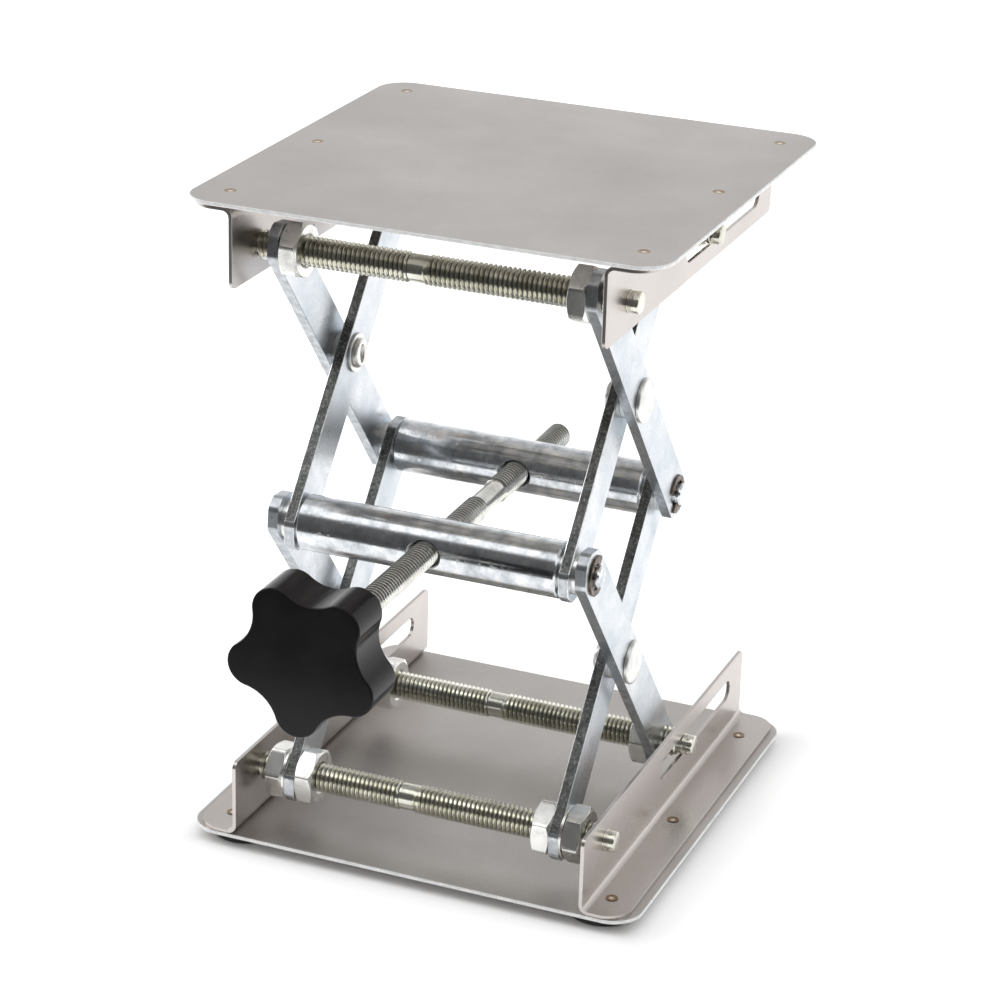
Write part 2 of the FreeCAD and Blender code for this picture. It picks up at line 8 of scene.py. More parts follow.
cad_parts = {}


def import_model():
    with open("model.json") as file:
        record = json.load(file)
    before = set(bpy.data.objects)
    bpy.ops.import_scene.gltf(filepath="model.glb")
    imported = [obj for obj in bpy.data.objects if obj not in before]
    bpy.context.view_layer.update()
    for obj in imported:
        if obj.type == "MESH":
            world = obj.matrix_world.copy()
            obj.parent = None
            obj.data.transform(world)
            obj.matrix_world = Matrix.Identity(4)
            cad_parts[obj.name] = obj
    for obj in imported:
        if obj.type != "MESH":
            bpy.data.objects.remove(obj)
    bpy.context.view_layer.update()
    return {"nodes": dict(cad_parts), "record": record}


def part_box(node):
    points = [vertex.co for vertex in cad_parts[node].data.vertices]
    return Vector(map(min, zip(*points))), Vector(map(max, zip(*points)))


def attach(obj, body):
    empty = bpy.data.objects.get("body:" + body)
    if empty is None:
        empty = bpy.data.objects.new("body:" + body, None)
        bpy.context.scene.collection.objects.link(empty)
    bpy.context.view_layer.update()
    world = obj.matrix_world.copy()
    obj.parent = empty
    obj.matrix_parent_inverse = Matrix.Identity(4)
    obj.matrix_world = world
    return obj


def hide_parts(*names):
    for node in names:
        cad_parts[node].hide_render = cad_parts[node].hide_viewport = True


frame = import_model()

# Looks of the lab jack. Lengths named here are in millimetres; the scene is in metres.
# X runs along the cross rods, Y along the lead screw with the knob at -Y, and Z is up.
MM = 0.001
METRE = 1000

THREAD_PITCH = 1.5
THREAD_DEPTH = 0.86
THREAD_SEGMENTS = 40
# One turn of a thread, as (share of the pitch, height from 0 at the root to 1 at the crest). The
# third step starts the flat root.
THREAD_STEPS = ((0.0, 1.0), (0.16, 1.0), (0.46, 0.0), (0.70, 0.0))
ROOT_STEP = 2

# Smooth patches between the threads: from and to along a cross rod, and on the screw the width and
# how far it lies behind the middle between the crossbars.
ROD_PATCH = (-9.2, -3.4)
ROD_PATCH_DEPTH = 0.45
SCREW_PATCH_WIDTH = 15.5
SCREW_PATCH_SHIFT = 4.5
SCREW_PATCH_DEPTH = 0.5

# Body and material slot of each CAD node.
BODY_OF = {node: body for body, members in frame["record"]["behaviour"]["bodies"].items()
           for node in members}
SLOT_OF = {part["node"]: part["material_slot"] for part in frame["record"]["subparts"]}


# Materials

def new_material(name, color, metallic, roughness):
    """A Principled material; returns it with its node tree and shader."""
    material = bpy.data.materials.new(name)
    material.use_nodes = True
    tree = material.node_tree
    shader = tree.nodes["Principled BSDF"]
    shader.inputs["Base Color"].default_value = (*color, 1)
    shader.inputs["Metallic"].default_value = metallic
    shader.inputs["Roughness"].default_value = roughness
    return material, tree, shader


def noise(tree, scale, detail=4.0, roughness=0.55, stretch=(1, 1, 1), turn=(0, 0, 0)):
    """Noise in object space, in features per metre, stretched and turned."""
    place = tree.nodes.new("ShaderNodeTexCoord")
    mapping = tree.nodes.new("ShaderNodeMapping")
    mapping.inputs["Scale"].default_value = stretch
    mapping.inputs["Rotation"].default_value = turn
    texture = tree.nodes.new("ShaderNodeTexNoise")
    texture.inputs["Scale"].default_value = scale
    texture.inputs["Detail"].default_value = detail
    texture.inputs["Roughness"].default_value = roughness
    tree.links.new(place.outputs["Object"], mapping.inputs["Vector"])
    tree.links.new(mapping.outputs["Vector"], texture.inputs["Vector"])
    return texture.outputs["Fac"]


def ramp(tree, source, stops):
    """A colour ramp; each stop is a position and a colour or a grey."""
    node = tree.nodes.new("ShaderNodeValToRGB")
    elements = node.color_ramp.elements
    while len(elements) < len(stops):
        elements.new(0.5)
    for element, (position, color) in zip(elements, stops):
        element.position = position
        element.color = (*color, 1) if isinstance(color, tuple) else (color, color, color, 1)
    tree.links.new(source, node.inputs["Fac"])
    return node.outputs["Color"]


def multiply_colors(tree, first, second):
    """One colour darkened or lightened by another."""
    node = tree.nodes.new("ShaderNodeMix")
    node.data_type = "RGBA"
    node.blend_type = "MULTIPLY"
    node.inputs["Factor"].default_value = 1.0
    tree.links.new(first, node.inputs["A"])
    tree.links.new(second, node.inputs["B"])
    return node.outputs["Result"]


def math_node(tree, operation, *inputs):
    """A maths node; each input is a number or a socket."""
    node = tree.nodes.new("ShaderNodeMath")
    node.operation = operation
    for socket, value in zip(node.inputs, inputs):
        if isinstance(value, float):
            socket.default_value = value
        else:
            tree.links.new(value, socket)
    return node.outputs[0]


def add_bump(tree, shader, source, strength, distance_mm):
    """Bump from a height, after any bump that is already there."""
    node = tree.nodes.new("ShaderNodeBump")
    node.inputs["Strength"].default_value = strength
    node.inputs["Distance"].default_value = distance_mm * MM
    tree.links.new(source, node.inputs["Height"])
    before = shader.inputs["Normal"].links
    if before:
        tree.links.new(before[0].from_socket, node.inputs["Normal"])
    tree.links.new(node.outputs["Normal"], shader.inputs["Normal"])


def metal(name, tones, roughness, cloud, grain, grain_bump):
    """Metal with cloudy tone changes and fine grain.

    tones are the dark, middle and light colours, roughness the least and the most, cloud and
    grain the sizes of the clouds and the grain in millimetres, and grain_bump its strength.
    """
    material, tree, shader = new_material(name, tones[1], 1.0, roughness[0])
    clouds = noise(tree, METRE / cloud, 5.0, 0.6)
    fine = noise(tree, METRE / grain, 3.0, 0.6)
    color = ramp(tree, clouds, [(0.30, tones[0]), (0.50, tones[1]), (0.70, tones[2])])
    speckle = ramp(tree, fine, [(0.25, 0.86), (0.60, 1.0)])
    tree.links.new(multiply_colors(tree, color, speckle), shader.inputs["Base Color"])
    polish = ramp(tree, clouds, [(0.25, roughness[1]), (0.75, roughness[0])])
    tree.links.new(polish, shader.inputs["Roughness"])
    add_bump(tree, shader, fine, grain_bump, 0.02)
    return material


def sheet_steel(name, tones, roughness):
    """Satin stainless sheet with an even fine grain and faint handling marks."""
    material = metal(name, tones, roughness, cloud=45.0, grain=0.35, grain_bump=0.10)
    tree = material.node_tree
    marks = noise(tree, 60, 8.0, 0.7, stretch=(1, 3, 1), turn=(0, 0, 0.7))
    add_bump(tree, tree.nodes["Principled BSDF"], marks, 0.03, 0.05)
    return material


def zinc(name, tones, roughness, cloud):
    """Zinc plate: cloudy, with small pits."""
    material = metal(name, tones, roughness, cloud, grain=0.5, grain_bump=0.12)
    tree = material.node_tree
    pits = ramp(tree, noise(tree, 420, 6.0, 0.7), [(0.30, 0.0), (0.42, 1.0)])
    add_bump(tree, tree.nodes["Principled BSDF"], pits, 0.35, 0.06)
    return material


def rough_edge(name):
    """Sheared edge of a zinc plated bar: grey and torn, with bright crumbs; its dark grey is partly painted
    shade.
    """
    material, tree, shader = new_material(name, (0.20, 0.205, 0.20), 1.0, 0.4)
    crumbs = noise(tree, 1300, 5.0, 0.7)
    drags = noise(tree, 260, 4.0, 0.6)
    color = ramp(tree, crumbs, [(0.34, (0.08, 0.085, 0.08)), (0.55, (0.19, 0.195, 0.19)),
                                (0.76, (0.50, 0.51, 0.50))])
    shade = ramp(tree, drags, [(0.30, 0.65), (0.70, 1.25)])
    tree.links.new(multiply_colors(tree, color, shade), shader.inputs["Base Color"])
    tree.links.new(ramp(tree, crumbs, [(0.3, 0.5), (0.75, 0.28)]), shader.inputs["Roughness"])
    add_bump(tree, shader, crumbs, 0.6, 0.12)
    return material


def plastic(name):
    """Glossy black moulded plastic with a faint orange-peel surface."""
    material, tree, shader = new_material(name, (0.009, 0.008, 0.009), 0.0, 0.16)
    shader.inputs["Specular IOR Level"].default_value = 0.2
    peel = noise(tree, 500, 2.0)
    add_bump(tree, shader, peel, 0.05, 0.05)
    haze = noise(tree, 60, 4.0)
    tree.links.new(ramp(tree, haze, [(0.3, 0.12), (0.7, 0.22)]), shader.inputs["Roughness"])
    tone = ramp(tree, haze, [(0.3, (0.007, 0.006, 0.007)), (0.7, (0.011, 0.010, 0.011))])
    tree.links.new(tone, shader.inputs["Base Color"])
    return material


def rubber(name):
    """Matt black rubber."""
    material, tree, shader = new_material(name, (0.02, 0.02, 0.02), 0.0, 0.7)
    grain = noise(tree, 900, 4.0)
    tree.links.new(ramp(tree, grain, [(0.3, 0.012), (0.7, 0.03)]), shader.inputs["Base Color"])
    add_bump(tree, shader, grain, 0.3, 0.05)
    return material


MATERIALS = {
    "stainless_sheet": sheet_steel(
        "satin_stainless", ((0.55, 0.522, 0.50), (0.58, 0.550, 0.527), (0.61, 0.579, 0.555)),
        (0.40, 0.50)),
    "bracket_steel": sheet_steel(
        "bracket_sheet", ((0.57, 0.527, 0.503), (0.61, 0.567, 0.543), (0.65, 0.607, 0.583)),
        (0.26, 0.34)),
    "foot_rubber": rubber("black_rubber"),
    "zinc_arm": zinc(
        "zinc_arm_face", ((0.54, 0.60, 0.64), (0.66, 0.70, 0.74), (0.78, 0.79, 0.82)),
        (0.22, 0.42), cloud=16.0),
    "rod_steel": metal(
        "rod_zinc", ((0.58, 0.57, 0.49), (0.72, 0.71, 0.62), (0.84, 0.83, 0.76)),
        (0.14, 0.26), cloud=9.0, grain=0.6, grain_bump=0.10),
    "bright_zinc": metal(
        "nut_zinc", ((0.70, 0.69, 0.66), (0.84, 0.835, 0.81), (0.94, 0.935, 0.92)),
        (0.16, 0.32), cloud=5.0, grain=0.5, grain_bump=0.12),
    "rivet_steel": zinc(
        "rivet_zinc", ((0.70, 0.70, 0.68), (0.84, 0.835, 0.81), (0.94, 0.93, 0.91)),
        (0.24, 0.42), cloud=5.0),
    "clip_bronze": metal(
        "clip_bronze", ((0.07, 0.055, 0.045), (0.13, 0.10, 0.08), (0.22, 0.18, 0.15)),
        (0.25, 0.45), cloud=2.5, grain=0.4, grain_bump=0.2),
    "zinc_bar": zinc(
        "bar_zinc", ((0.42, 0.45, 0.47), (0.66, 0.69, 0.72), (0.90, 0.90, 0.90)),
        (0.10, 0.22), cloud=5.0),
    "screw_steel": metal(
        "screw_zinc", ((0.56, 0.555, 0.51), (0.72, 0.715, 0.67), (0.86, 0.855, 0.82)),
        (0.16, 0.30), cloud=9.0, grain=0.6, grain_bump=0.10),
    "insert_steel": metal(
        "turned_steel", ((0.44, 0.44, 0.42), (0.56, 0.555, 0.53), (0.66, 0.655, 0.63)),
        (0.22, 0.34), cloud=4.0, grain=0.4, grain_bump=0.12),
    "knob_plastic": plastic("black_plastic"),
}

# Looks of parts of a piece, beside its own material. The sheared edge is partly painted shade, the rim and
# corner metals are painted highlights, the thread root metal is painted shade, and the weld colours are the
# welds' own.
# Dark sheared edge for the arms' upper edges: partly the torn edge, partly painted shade.
SHEARED_AND_SHADED_EDGE = rough_edge("sheared_and_shaded_edge")
# Bright, mostly unmetallic rim metal for the plates: a painted highlight along their edges.
PAINTED_RIM_HIGHLIGHT = metal(
    "painted_rim_highlight", ((0.76, 0.77, 0.77), (0.88, 0.885, 0.88), (0.97, 0.97, 0.96)),
    (0.28, 0.40), cloud=3.0, grain=0.4, grain_bump=0.1)
PAINTED_RIM_HIGHLIGHT.node_tree.nodes["Principled BSDF"].inputs["Metallic"].default_value = 0.15
# Brighter, glossier corner metal for the arms: a painted highlight on their rounded corners.
PAINTED_CORNER_HIGHLIGHT = metal(
    "painted_corner_highlight", ((0.58, 0.60, 0.61), (0.74, 0.755, 0.76), (0.88, 0.885, 0.88)),
    (0.18, 0.30), cloud=3.0, grain=0.4, grain_bump=0.1)
# Dark metal on the flat roots of the threads: painted shade in the valleys.
PAINTED_ROOT_SHADE = metal(
    "painted_root_shade", ((0.12, 0.115, 0.095), (0.19, 0.18, 0.155), (0.28, 0.27, 0.24)),
    (0.35, 0.50), cloud=3.0, grain=0.4, grain_bump=0.1)
EDGE_SMOOTH = metal(
    "rolled_edge", ((0.40, 0.43, 0.45), (0.52, 0.55, 0.58), (0.66, 0.68, 0.70)),
    (0.25, 0.40), cloud=2.5, grain=0.4, grain_bump=0.2)
WELD_TINT = metal(
    "weld_tint", ((0.20, 0.12, 0.05), (0.34, 0.23, 0.12), (0.48, 0.38, 0.26)),
    (0.25, 0.40), cloud=0.8, grain=0.2, grain_bump=0.2)
WELD_SPOT = metal(
    "weld_spot", ((0.62, 0.58, 0.52), (0.80, 0.77, 0.72), (0.92, 0.90, 0.86)),
    (0.15, 0.25), cloud=0.6, grain=0.2, grain_bump=0.2)


# Mesh helpers

def make_object(name, bm, materials, smooth_angle=35):
    """Turn a bmesh into an object with smooth shading below an angle."""
    bmesh.ops.recalc_face_normals(bm, faces=bm.faces)
    mesh = bpy.data.meshes.new(name)
    bm.to_mesh(mesh)
    bm.free()
    for material in materials:
        mesh.materials.append(material)
    mesh.shade_smooth()
    mesh.set_sharp_from_angle(angle=math.radians(smooth_angle))
    piece = bpy.data.objects.new(name, mesh)
    bpy.context.scene.collection.objects.link(piece)
    return piece


def stand_for(piece, node):
    """Let a piece stand for a CAD node: put it on the node's body and hide the node."""
    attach(piece, BODY_OF[node])
    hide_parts(node)
    return piece


def round_edges(piece, width, segments=2, angle=30):
    """Round a piece's sharp edges, and keep its flat faces flat in the shading."""
    bevel = piece.modifiers.new("rounded", "BEVEL")
    bevel.width = width * MM
    bevel.segments = segments
    bevel.limit_method = "ANGLE"
    bevel.angle_limit = math.radians(angle)
    bevel.harden_normals = True
    flat = piece.modifiers.new("flat_faces", "WEIGHTED_NORMAL")
    flat.keep_sharp = True
    return bevel


def cad_bmesh(node):
    """A clean copy of a CAD node's mesh: joined corners and whole flat faces."""
    same_point = 0.001 * MM
    same_plane = math.radians(0.6)
    bm = bmesh.new()
    bm.from_mesh(frame["nodes"][node].data)
    bmesh.ops.remove_doubles(bm, verts=bm.verts, dist=same_point)
    bmesh.ops.dissolve_limit(bm, angle_limit=same_plane, verts=bm.verts, edges=bm.edges)
    return bm


def finished_copy(node, width, segments=2):
    """The CAD node's own shape with rounded edges."""
    piece = make_object(f"{node}_finished", cad_bmesh(node), [MATERIALS[SLOT_OF[node]]])
    round_edges(piece, width, segments)
    return stand_for(piece, node)


def middle_of(node):
    """The middle of a CAD node's box, in millimetres."""
    low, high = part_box(node)
    return (low + high) / 2 / MM


def along(axis, distance, radius, angle):
    """A point at a distance along an axis and a radius from it, in metres from the axis's origin."""
    around = (radius * math.cos(angle), radius * math.sin(angle))
    if axis == "X":
        return Vector((distance, around[0], around[1])) * MM
    return Vector((around[1], distance, around[0])) * MM


def add_turned(bm, axis, centre, profile, segments=48):
    """Add a turned solid; the profile is a list of (distance, radius), in millimetres.

    It starts and ends on the axis, with a radius of zero.
    """
    rings = []
    for distance, radius in profile:
        around = segments if radius else 1
        rings.append([bm.verts.new(centre + along(axis, distance, radius, 2 * math.pi * k / segments))
                      for k in range(around)])
    for first, second in zip(rings, rings[1:]):
        for k in range(segments):
            after = (k + 1) % segments
            corners = [first[k % len(first)], first[after % len(first)],
                       second[after % len(second)], second[k % len(second)]]
            bm.faces.new(list(dict.fromkeys(corners)))


def add_band(bm, first, second, material=0):
    """Add a closed band of faces between two rings of as many corners."""
    for k in range(len(first)):
        after = (k + 1) % len(first)
        bm.faces.new((first[k], first[after], second[after], second[k])).material_index = material


def add_ring(bm, centre, radius, segments):
    """Add a level ring of corners round a point, with the radius in millimetres."""
    return [bm.verts.new(centre + Vector((radius * math.cos(2 * math.pi * k / segments),
                                          radius * math.sin(2 * math.pi * k / segments), 0)) * MM)
            for k in range(segments)]


# Threads

def thread_rows(start, end):
    """Rows along one thread: the distance at which each begins, and its height from 0 to 1."""
    first = start - THREAD_PITCH
    turns = int((end - start) / THREAD_PITCH) + 3
    return [(first + (turn + phase) * THREAD_PITCH, height)
            for turn in range(turns) for phase, height in THREAD_STEPS]


def add_thread(bm, axis, centre, start, end, hand, radius, core_at):
    """Add a real screw thread from start to end; the faces of its flat root get painted shade.

    hand is 1 for a right-hand thread and -1 for a left-hand one. core_at gives, for a distance
    along the axis, how much of the plain core shows (0 to 1) and the core's radius there.
    """
    rows = thread_rows(start, end)
    grid = []
    for distance, height in rows:
        ring = []
        for k in range(THREAD_SEGMENTS):
            angle = 2 * math.pi * k / THREAD_SEGMENTS
            spot = distance + hand * THREAD_PITCH * k / THREAD_SEGMENTS
            spot = min(max(spot, start), end)
            share, core = core_at(spot)
            cut = radius - THREAD_DEPTH * (1 - height)
            ring.append(bm.verts.new(centre + along(axis, spot, cut + (core - cut) * share, angle)))
        grid.append(ring)
    steps = len(THREAD_STEPS)
    for row in range(len(grid) - 1):
        # Faces on the flat root of the full thread get the dark root metal: painted shade in the valleys.
        is_root = row % steps == ROOT_STEP and in_thread(rows[row][0], start, end, core_at)
        for k in range(THREAD_SEGMENTS):
            after = (k + 1) % THREAD_SEGMENTS
            beside = row if after else row + hand * steps
            if not 0 <= beside < len(grid) - 1:
                continue
            corners = (grid[row][k], grid[beside][after], grid[beside + 1][after], grid[row + 1][k])
            bm.faces.new(corners).material_index = 1 if is_root else 0


def in_thread(spot, start, end, core_at):
    """True where the full thread is cut, away from its ends and the smooth patches."""
    most_core = 0.4
    return start < spot < end and core_at(spot)[0] < most_core


def smooth_step(value):
    """0 below 0, 1 above 1, and smooth between."""
    value = min(max(value, 0), 1)
    return value * value * (3 - 2 * value)


def core_profile(start, end, patch, patch_radius, root):
    """How a thread runs out at its two ends and into its smooth patch, which is (from, to)."""
    run_out, patch_run_out = 0.7, 0.5

    def core_at(spot):
        at_end = 1 - smooth_step(min(spot - start, end - spot) / run_out)
        on_patch = smooth_step(min(spot - patch[0], patch[1] - spot) / patch_run_out + 0.5)
        return (on_patch, patch_radius) if on_patch > at_end else (at_end, root)
    return core_at


def tidy_thread(bm):
    """Join the corners that fell together where a thread is cut off at its ends."""
    same_point, no_length = 0.002 * MM, 0.001 * MM
    bmesh.ops.remove_doubles(bm, verts=bm.verts, dist=same_point)
    bmesh.ops.dissolve_degenerate(bm, dist=no_length, edges=bm.edges)
    loose = [vert for vert in bm.verts if not vert.link_faces]
    bmesh.ops.delete(bm, geom=loose, context="VERTS")


def cross_rod(node):
    """A threaded rod with plain pins and a smooth patch left of its middle."""
    low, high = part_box(node)
    centre = (low + high) / 2
    half_length = (high.x - low.x) / 2 / MM
    radius = (high.z - low.z) / 2 / MM
    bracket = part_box("base_bracket_right")[0].x / MM
    thread_end = bracket - 0.6
    root = radius - THREAD_DEPTH
    pin = 3.25
    collar = bracket + 1.2
    bm = bmesh.new()
    core_at = core_profile(-thread_end, thread_end, ROD_PATCH, radius - ROD_PATCH_DEPTH, root)
    add_thread(bm, "X", centre, -thread_end, thread_end, 1, radius, core_at)
    tidy_thread(bm)
    pin_profile = [
        (thread_end - 0.3, 0), (thread_end - 0.3, root), (thread_end, root), (thread_end + 0.02, pin),
        (collar + 0.02, pin), (collar + 0.07, pin + 0.18), (collar + 0.25, pin + 0.14),
        (collar + 0.3, pin), (half_length - 0.5, pin), (half_length - 0.12, pin - 0.2),
        (half_length, pin - 0.6), (half_length, 0)]
    for side in (1, -1):
        add_turned(bm, "X", centre, [(side * distance, wide) for distance, wide in pin_profile])
    piece = make_object(f"{node}_threaded", bm, [MATERIALS[SLOT_OF[node]], PAINTED_ROOT_SHADE], smooth_angle=50)
    return stand_for(piece, node)


def lead_screw():
    """The screw: opposite threads that meet at a smooth patch between the crossbars."""
    low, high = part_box("lead_screw")
    centre = Vector(((low.x + high.x) / 2, 0, (low.z + high.z) / 2))
    radius = (high.x - low.x) / 2 / MM
    front, back = low.y / MM, high.y / MM
    middle = (middle_of("front_crossbar").y + middle_of("rear_crossbar").y) / 2 + SCREW_PATCH_SHIFT
    patch = (middle - SCREW_PATCH_WIDTH / 2, middle + SCREW_PATCH_WIDTH / 2)
    root = radius - THREAD_DEPTH
    core_at = core_profile(front, back, patch, radius - SCREW_PATCH_DEPTH, root)
    bm = bmesh.new()
    for start, end, hand in ((front, middle, 1), (middle, back, -1)):
        add_thread(bm, "Y", centre, start, end, hand, radius, core_at)
    tidy_thread(bm)
    add_turned(bm, "Y", centre, [(back - 0.6, 0), (back - 0.6, root - 0.1), (back - 0.25, root - 0.1),
                                 (back, root - 0.5), (back, 0)])
    piece = make_object("lead_screw_threaded", bm, [MATERIALS["screw_steel"], PAINTED_ROOT_SHADE], smooth_angle=50)
    return stand_for(piece, "lead_screw")


# Nuts

def hexagon_radius(angle, flats, corner_cut):
    """Distance from the middle of a hexagon to its outline, with its corners eased."""
    sector = math.radians(60)
    folded = (angle + sector / 2) % sector - sector / 2
    return min(flats / 2 / math.cos(folded), flats / math.sqrt(3) - corner_cut)


def add_nut(bm, centre, distance, turn, flats, height, bore):
    """Add a hexagon nut on an X axis, with cone-cut corners and a countersunk bore."""
    segments = 96
    corner_cut, sink_width, sink_depth = 0.12, 0.7, 0.6
    face_radius = flats / 2 * 0.965
    cone = math.tan(math.radians(30))
    half = height / 2
    rings = []
    for side in (-1, 1):
        edge, sink, hole, crown = [], [], [], []
        for k in range(segments):
            angle = 2 * math.pi * k / segments
            wide = hexagon_radius(angle, flats, corner_cut)
            drop = (wide - face_radius) * cone
            for ring, depth, radius in ((edge, drop, wide), (crown, 0, face_radius),
                                        (sink, 0, bore + sink_width), (hole, sink_depth, bore)):
                place = along("X", distance + side * (half - depth), radius, angle + turn)
                ring.append(bm.verts.new(centre + place))
        rings.append([hole, sink, crown, edge])
    loops = rings[0] + rings[1][::-1]
    for first, second in zip(loops, loops[1:] + loops[:1]):
        add_band(bm, first, second)


# Turn of each nut in degrees, on the left (-1) and right (1) sides; with two on a side, the inner
# one comes first.
NUT_TURNS = {
    "bottom_front_nuts": {-1: (12, 22), 1: (2, 40)},
    "bottom_rear_nuts": {-1: (15,), 1: (25,)},
    "top_front_nuts": {-1: (10,), 1: (4,)},
    "top_rear_nuts": {-1: (33, 8), 1: (50, 20)},
}


def nut_set(node, rod):
    """Every nut of a node, each turned as it was left when it was tightened."""
    low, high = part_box(rod)
    centre = (low + high) / 2
    flats, height, bore = 16.0, 6.0, 4.62
    outer = (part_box(node)[1].x - centre.x) / MM - height / 2
    arm_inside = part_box("lower_inner_arm_right")[0].x
    gap = (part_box("bottom_front_washers")[1].x - arm_inside) / MM + height
    bm = bmesh.new()
    for side, turns in NUT_TURNS[node].items():
        spots = [outer - gap, outer][-len(turns):]
        for spot, turn in zip(spots, turns):
            add_nut(bm, centre, side * spot, math.radians(turn), flats, height, bore)
    piece = make_object(f"{node}_hex", bm, [MATERIALS["bright_zinc"]], smooth_angle=20)
    round_edges(piece, 0.12, angle=25)
    return stand_for(piece, node)


# Rivets

def rivet_pair(node):
    """Rivets with broad flat heads outside and peened tails, each with a slot, inside."""
    low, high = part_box(node)
    centre = (low + high) / 2
    face = (high.x - centre.x) / MM
    tail = (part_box("lower_inner_arm_right")[0].x - centre.x) / MM - 2.3
    shank, hollow = 4.0, tail + 1.1
    rivet = [(tail + 1.0, 0), (tail + 1.0, shank), (face - 1.5, shank), (face - 1.5, 6.75),
             (face - 1.35, 6.95), (face - 0.75, 7.0), (face - 0.35, 6.85), (face - 0.1, 6.45),
             (face - 0.02, 5.6), (face, 3.0), (face, 0)]
    peened = [(tail + 1.5, 0), (tail + 1.5, 4.5), (tail + 1.1, 4.7), (tail + 0.6, 4.55),
              (tail + 0.1, 4.0), (tail, 3.6), (tail + 0.1, 3.1), (tail + 0.9, 2.7), (hollow, 0)]
    bm = bmesh.new()
    for side in (1, -1):
        add_turned(bm, "X", centre, [(side * distance, wide) for distance, wide in rivet], 64)
        add_turned(bm, "X", centre, [(side * distance, wide) for distance, wide in peened], 48)
    squeeze_hollow(bm, centre, hollow)
    piece = make_object(f"{node}_peened", bm, [MATERIALS["rivet_steel"]], smooth_angle=40)
    return stand_for(piece, node)


def squeeze_hollow(bm, centre, depth):
    """Squeeze the round hollow in each rivet's tail into an upright slot."""
    rim, squeeze, margin = 3.15, 1.5 / 2.8, 0.05
    for vert in bm.verts:
        offset = vert.co - centre
        across = math.hypot(offset.y, offset.z) / MM
        if abs(offset.x) / MM < depth + margin and across < rim:
            vert.co.y = centre.y + offset.y * squeeze


# Arms

def arm(node):
    """A flat bar: plated faces, a dark sheared edge on its long upper edges that is partly painted shade, a
    lighter smooth edge elsewhere, and rounded corners between them with a painted highlight.
    """
    looks = [MATERIALS["zinc_arm"], SHEARED_AND_SHADED_EDGE, PAINTED_CORNER_HIGHLIGHT, EDGE_SMOOTH]
    long_edge = 100 * MM * MM
    bm = cad_bmesh(node)
    for face in bm.faces:
        if abs(face.normal.x) < 0.5:
            # Long edges facing up get the dark sheared edge, darker as painted shade; the other edges get
            # the lighter smooth edge.
            is_upper_edge = face.normal.z > 0 and face.calc_area() > long_edge
            face.material_index = looks.index(SHEARED_AND_SHADED_EDGE if is_upper_edge else EDGE_SMOOTH)
    piece = make_object(f"{node}_plated", bm, looks)
    bevel = round_edges(piece, 0.5, segments=3)
    # The rounded corners get the brighter corner metal: a painted highlight.
    bevel.material = looks.index(PAINTED_CORNER_HIGHLIGHT)
    return stand_for(piece, node)


# Clips

def clip_outline():
    """An E-clip's outline as (radius, degrees), with its mouth at 0 degrees."""
    outer, root, lug = 6.4, 4.3, 2.95
    half = [(outer - 0.7, 180), (outer - 0.5, 150), (outer - 0.2, 120), (outer, 90), (outer, 60),
            (outer, 42), (outer - 0.6, 34), (lug + 0.5, 36), (lug, 44), (lug, 62), (root, 70),
            (root, 100), (root, 128), (root, 150), (lug, 160), (lug, 180)]
    return half + [(radius, -degrees) for radius, degrees in half[-2:0:-1]]


def clip_pair(node, bar, mouth_angle):
    """E-clips in the grooves of a crossbar's pins, their mouths turned as asked."""
    centre = middle_of(bar) * MM
    outer_face = (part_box(node)[1].x - centre.x) / MM
    gauge = 0.7
    bm = bmesh.new()
    for side in (1, -1):
        rings = []
        for distance in (side * (outer_face - gauge), side * outer_face):
            places = [along("X", distance, radius, math.radians(degrees + mouth_angle))
                      for radius, degrees in clip_outline()]
            rings.append([bm.verts.new(centre + place) for place in places])
        add_band(bm, *rings)
        for ring in rings:
            bm.faces.new(ring)
    piece = make_object(f"{node}_e_clip", bm, [MATERIALS["clip_bronze"]], smooth_angle=50)
    round_edges(piece, 0.12)
    return stand_for(piece, node)


# Knob

def star_outline(lobes, phase, tip, tip_round, valley, steps):
    """Points of a star with round lobes and round valleys that run into one another.

    phase is the first lobe's direction in degrees, tip and valley are the largest and smallest
    radius, tip_round is the lobes' own radius, and steps are the points along half an arc.
    """
    lobe_centre = tip - tip_round
    half = math.pi / lobes
    gap_sum = valley * valley - tip_round * tip_round + lobe_centre * lobe_centre \
        - 2 * lobe_centre * valley * math.cos(half)
    hollow = gap_sum / (2 * (tip_round - valley + lobe_centre * math.cos(half)))
    hollow_centre = valley + hollow
    meet = math.atan2(hollow_centre * math.sin(half), hollow_centre * math.cos(half) - lobe_centre)
    points = []
    for lobe in range(lobes):
        middle = math.radians(phase) + 2 * math.pi * lobe / lobes
        for k in range(-steps, steps + 1):
            angle = middle + meet * k / steps
            points.append((lobe_centre * math.cos(middle) + tip_round * math.cos(angle),
                           lobe_centre * math.sin(middle) + tip_round * math.sin(angle)))
        opposite = middle + half
        sweep = meet - half
        for k in range(-steps + 1, steps):
            angle = opposite + math.pi + sweep * -k / steps
            points.append((hollow_centre * math.cos(opposite) + hollow * math.cos(angle),
                           hollow_centre * math.sin(opposite) + hollow * math.sin(angle)))
    return points


